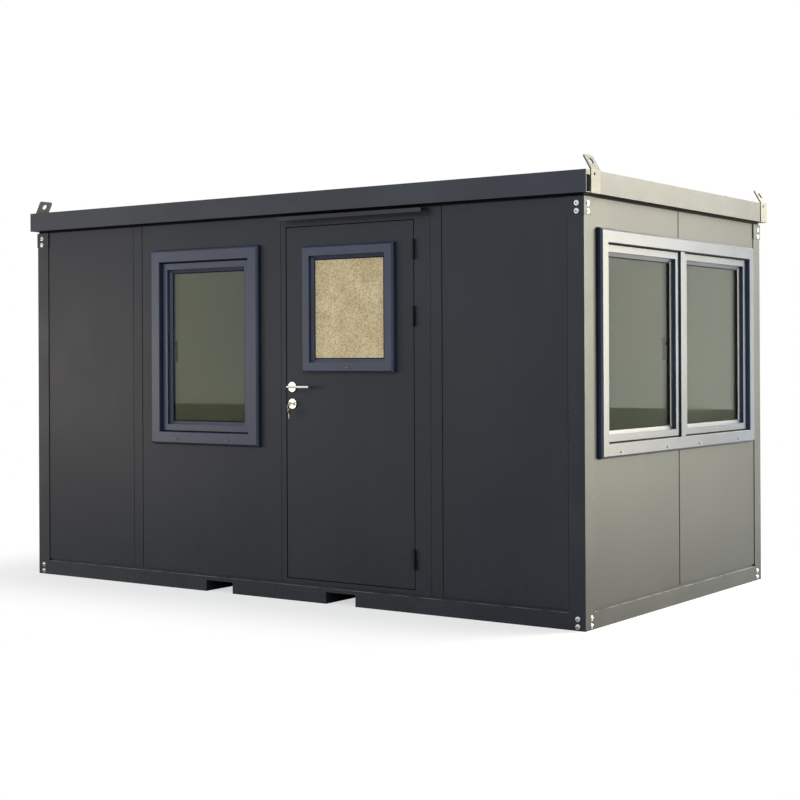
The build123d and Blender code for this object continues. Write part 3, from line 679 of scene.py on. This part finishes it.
# Joint seals of the walls
# Black butyl strip pressed into the groove between two panels, from the top of the foot groove
# to the head of the wall.
joint_strip = [(-0.0030, 0.0034), (-0.0012, 0.0020), (0.0012, 0.0020), (0.0026, 0.0030), (0.0, 0.0052)]
wall_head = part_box("front_panel_left")[1].z
foot_groove_height = 0.016
strip_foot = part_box("front_panel_left")[0].z + foot_groove_height
front_joints = [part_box(name)[1].x for name in ("front_panel_left", "front_panel_window",
                                                "front_panel_beside_door")]
end_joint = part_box("right_panel_front")[1].y
strips = bmesh.new()
half_turn = Matrix.Rotation(math.pi, 4, "Z")
to_rear_wall = half_turn @ to_front_wall
to_left_wall = half_turn @ to_end_wall
strip_walls = [(to_front_wall, joint) for joint in front_joints]
strip_walls += [(to_rear_wall, -joint) for joint in front_joints]
strip_walls += [(to_end_wall, end_joint), (to_left_wall, -end_joint)]
for wall, along in strip_walls:
    rings = [[(along + a, depth, level) for a, depth in joint_strip] for level in (strip_foot, wall_head)]
    ring_stack(strips, wall, rings)
new_piece("panel_joint_seals", strips, rubber)

# Sealant
# A narrow fillet of black sealant, run by hand round each window frame and down the edge of each
# post where it laps the wall panels. Its black also stands in for the shadow along these edges, as
# painted shade.
fillet_leg = 0.0040
fillet_root = 0.0002
window_fillet = [(-fillet_leg, -fillet_root), (-fillet_leg * 0.45, -fillet_leg * 0.40), (0.0, -fillet_leg),
                 (0.0, -fillet_root)]
post_fillet = [(0.0, -0.0001), (0.0, -0.0036), (0.0018, -0.0014), (0.0040, -0.0001)]
post_edge_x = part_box("post_front_left")[1].x
post_edge_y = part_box("post_front_left")[1].y
sealant_and_shade_lines = bmesh.new()
for wall, node in [(to_front_wall, "front_window_frame"), (to_end_wall, "end_window_frame")]:
    add_ring(sealant_and_shade_lines, wall, wall_rectangle(node, wall), window_fillet)
for wall, edge in [(to_front_wall, post_edge_x), (to_rear_wall, post_edge_x),
                   (to_end_wall, post_edge_y), (to_left_wall, post_edge_y)]:
    for side in (-1, 1):
        rings = [[((edge + a) * side, depth, level) for a, depth in post_fillet]
                 for level in (strip_foot, wall_head)]
        ring_stack(sealant_and_shade_lines, wall, rings)
new_piece("wall_sealant_and_shade_lines", sealant_and_shade_lines, rubber)

# Roof seal
# A black foam tape, stuck along the edge of the roof panel and squeezed by the roof frame, that
# closes the gap between the head of the walls and the frame. Flush with the wall face, its black
# also stands in for the shade in that gap, as painted shade.
roof_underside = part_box("roof_rail_front")[0].z
roof_core_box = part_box("roof_panel")
tape_gap = 0.0004
tape_width = 0.0050
tape_round_out = 0.0012
tape_round_up = 0.004
seal_and_shade_tape = bmesh.new()
tape_shoulder = tape_width - tape_round_out
tape_profile = [(tape_gap, wall_head), (tape_gap, roof_underside), (tape_shoulder, roof_underside),
                (tape_width, roof_underside - tape_round_up), (tape_width, wall_head + tape_round_up),
                (tape_shoulder, wall_head)]
tape_loops = []
for out, level in tape_profile:
    half_x = roof_core_box[1].x + out
    half_y = roof_core_box[1].y + out
    corners = [(-half_x, -half_y), (half_x, -half_y), (half_x, half_y), (-half_x, half_y)]
    tape_loops.append([seal_and_shade_tape.verts.new((x, y, level)) for x, y in corners])
for low, high in zip(tape_loops, tape_loops[1:] + tape_loops[:1]):
    join_rings(seal_and_shade_tape, low, high)
new_piece("roof_seal_and_shade", seal_and_shade_tape, rubber)

# Door frame and leaf
# A folded steel frame and a leaf of two coated sheets on a foam core, hung flush with the wall.
# Sprayed in the anthracite of the cabin outside, and white inside.
door_coat = coated_sheet("door_coat", leaf=True)
dress(panel_coat, "door_frame")
dress(door_coat, "door_leaf")
leaf_low, leaf_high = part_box("door_leaf")
latch_gap = 0.007
leaf_gap = 0.005
door_seal_inset = 0.0005
door_seal_width = 0.012
door_seal_front = 0.0462
door_seal_back = 0.0498
doorway_low = leaf_low - Vector((latch_gap, 0.0, leaf_gap))
doorway_high = leaf_high + Vector((leaf_gap, 0.0, leaf_gap))
doorway_middle = (doorway_low + doorway_high) / 2
doorway_size = doorway_high - doorway_low
doorway = (doorway_middle.x, doorway_middle.z, doorway_size.x, doorway_size.z)
door_seal = bmesh.new()
door_seal_profile = bead(door_seal_inset, door_seal_width, door_seal_front, door_seal_back)
add_ring(door_seal, to_front_wall, doorway, door_seal_profile)
new_piece("door_seal", door_seal, rubber)

# Hinges, lever, lock, keys and window handles
# Turned steel lift-off hinges, painted black; a satin stainless lever on round roses; a profile
# cylinder with the key in it and a second key on a split ring. Inside, the sashes of the windows
# have black handles.
hinge_black = (0.004, 0.004, 0.006, 1.0)
hinge_worn = (0.009, 0.009, 0.011, 1.0)
hinge_steel = painted_steel("hinge_steel", 0.1, 0.36, hinge_black, hinge_worn)
dress(hinge_steel, "door_hinges_frame_side", "door_hinges_leaf_side")
satin_dark = (0.74, 0.74, 0.73, 1.0)
satin_light = (0.90, 0.90, 0.88, 1.0)
satin = Finish("satin_stainless")
brush = satin.noise(700.0, 3.0, 0.6, (0.05, 1.0, 1.0))
satin.show("ShaderNodeBsdfPrincipled",
           Base_Color=satin.blend(brush, satin_dark, satin_light),
           Metallic=1.0, Roughness=brush * 0.12 + 0.11, Normal=satin.bump(brush, 0.0002, 0.2))
dress(satin, "door_lever", "lever_roses", "lock_cylinder")
brass_dark = (0.72, 0.62, 0.40, 1.0)
brass_light = (0.88, 0.82, 0.66, 1.0)
brass = Finish("key_brass")
tarnish = brass.noise(90.0, 3.0, 0.6)
brass.show("ShaderNodeBsdfPrincipled",
           Base_Color=brass.blend(tarnish, brass_dark, brass_light),
           Metallic=1.0, Roughness=tarnish * 0.2 + 0.22, Normal=brass.bump(tarnish, 0.0002, 0.3))
dress(brass, "door_keys")
handle_dark = (0.004, 0.004, 0.005, 1.0)
handle_light = (0.008, 0.008, 0.009, 1.0)
handle_coat = Finish("window_handle")
handle_cloud = handle_coat.noise(20.0, 2.0)
handle_coat.show("ShaderNodeBsdfPrincipled",
                 Base_Color=handle_coat.blend(handle_cloud, handle_dark, handle_light),
                 Roughness=0.45, Normal=handle_coat.bump(handle_cloud, 0.0002, 0.2))
dress(handle_coat, "window_handles")

# Rain rail
# A folded aluminium strip, screwed to the wall over the door to lead rain past it. It is
# sprayed to match the frame.
dress(frame_paint, "door_rain_rail")

# Roof
# Folded channels with their lips turned in, an insulated panel between them and a seamed
# galvanised sheet on top. The channels' paint is a lighter copy of the frame's anthracite, a
# painted sheen for the light they catch, and their undersides are painted near black as shade.
# The roof channels' undersides, up to this reach above them, are painted near black as shade.
underside_shade_reach = 0.0006
ceiling_skin = 0.0015
board_dark = (0.30, 0.31, 0.32, 1.0)
board_light = (0.40, 0.41, 0.42, 1.0)
sheet_dark = (0.24, 0.25, 0.26, 1.0)
sheet_light = (0.36, 0.37, 0.38, 1.0)
# Painted sheen: the roof channels take a lighter copy of the frame's anthracite, for the light they catch.
roof_lit_paint = (0.028, 0.034, 0.047, 1.0)
roof_lit_paint_mottle = (0.044, 0.051, 0.066, 1.0)
roof_paint = painted_steel("roof_paint", 0.9, 0.40, roof_lit_paint, roof_lit_paint_mottle, roof_underside + underside_shade_reach)
dress(roof_paint, "roof_rail_front", "roof_rail_rear", "roof_rail_left", "roof_rail_right")
roof_core = Finish("roof_board")
_, _, z = roof_core.axes()
roof_mottle = roof_core.noise(3.0, 3.0)
below = z < roof_core_box[0].z + ceiling_skin
board_colour = roof_core.blend(roof_mottle, board_dark, board_light)
roof_core.show("ShaderNodeBsdfPrincipled", Base_Color=roof_core.blend(below, board_colour, panel_white),
               Roughness=0.5 + roof_mottle * 0.1, Normal=roof_core.bump(roof_mottle, 0.0005, 0.3))
dress(roof_core, "roof_panel")


def galvanised(name, dark, light, roughness, metallic):
    """Hot-dip zinc: grey crystals of slightly different tones, matt with age."""
    zinced = Finish(name)
    crystals = zinced.node("ShaderNodeTexVoronoi", {"feature": "F1"},
                           {"Vector": zinced.place(), "Scale": 130.0}, "Color")
    tone = zinced.node("ShaderNodeSeparateXYZ", sockets={0: crystals}, output="X")
    cloud = zinced.noise(6.0, 4.0, 0.6)
    colour = zinced.blend(tone * 0.5 + cloud * 0.5, dark, light)
    return zinced.show("ShaderNodeBsdfPrincipled", Base_Color=colour, Metallic=metallic,
                       Roughness=tone * 0.15 + roughness, Normal=zinced.bump(tone + cloud, 0.0002, 0.25))


roof_zinc = galvanised("roof_zinc", sheet_dark, sheet_light, 0.46, 0.40)
dress(roof_zinc, "roof_sheet")

# Lifting lugs
# Flame-cut plates, 8 mm thick, folded inward at the eye and hot-dip galvanised, welded to a
# short box in the corner of the roof frame.
lug_dark = (0.075, 0.076, 0.076, 1.0)
lug_light = (0.13, 0.13, 0.125, 1.0)
lug_zinc = galvanised("lug_zinc", lug_dark, lug_light, 0.50, 0.10)
dress(lug_zinc, "lifting_lugs")
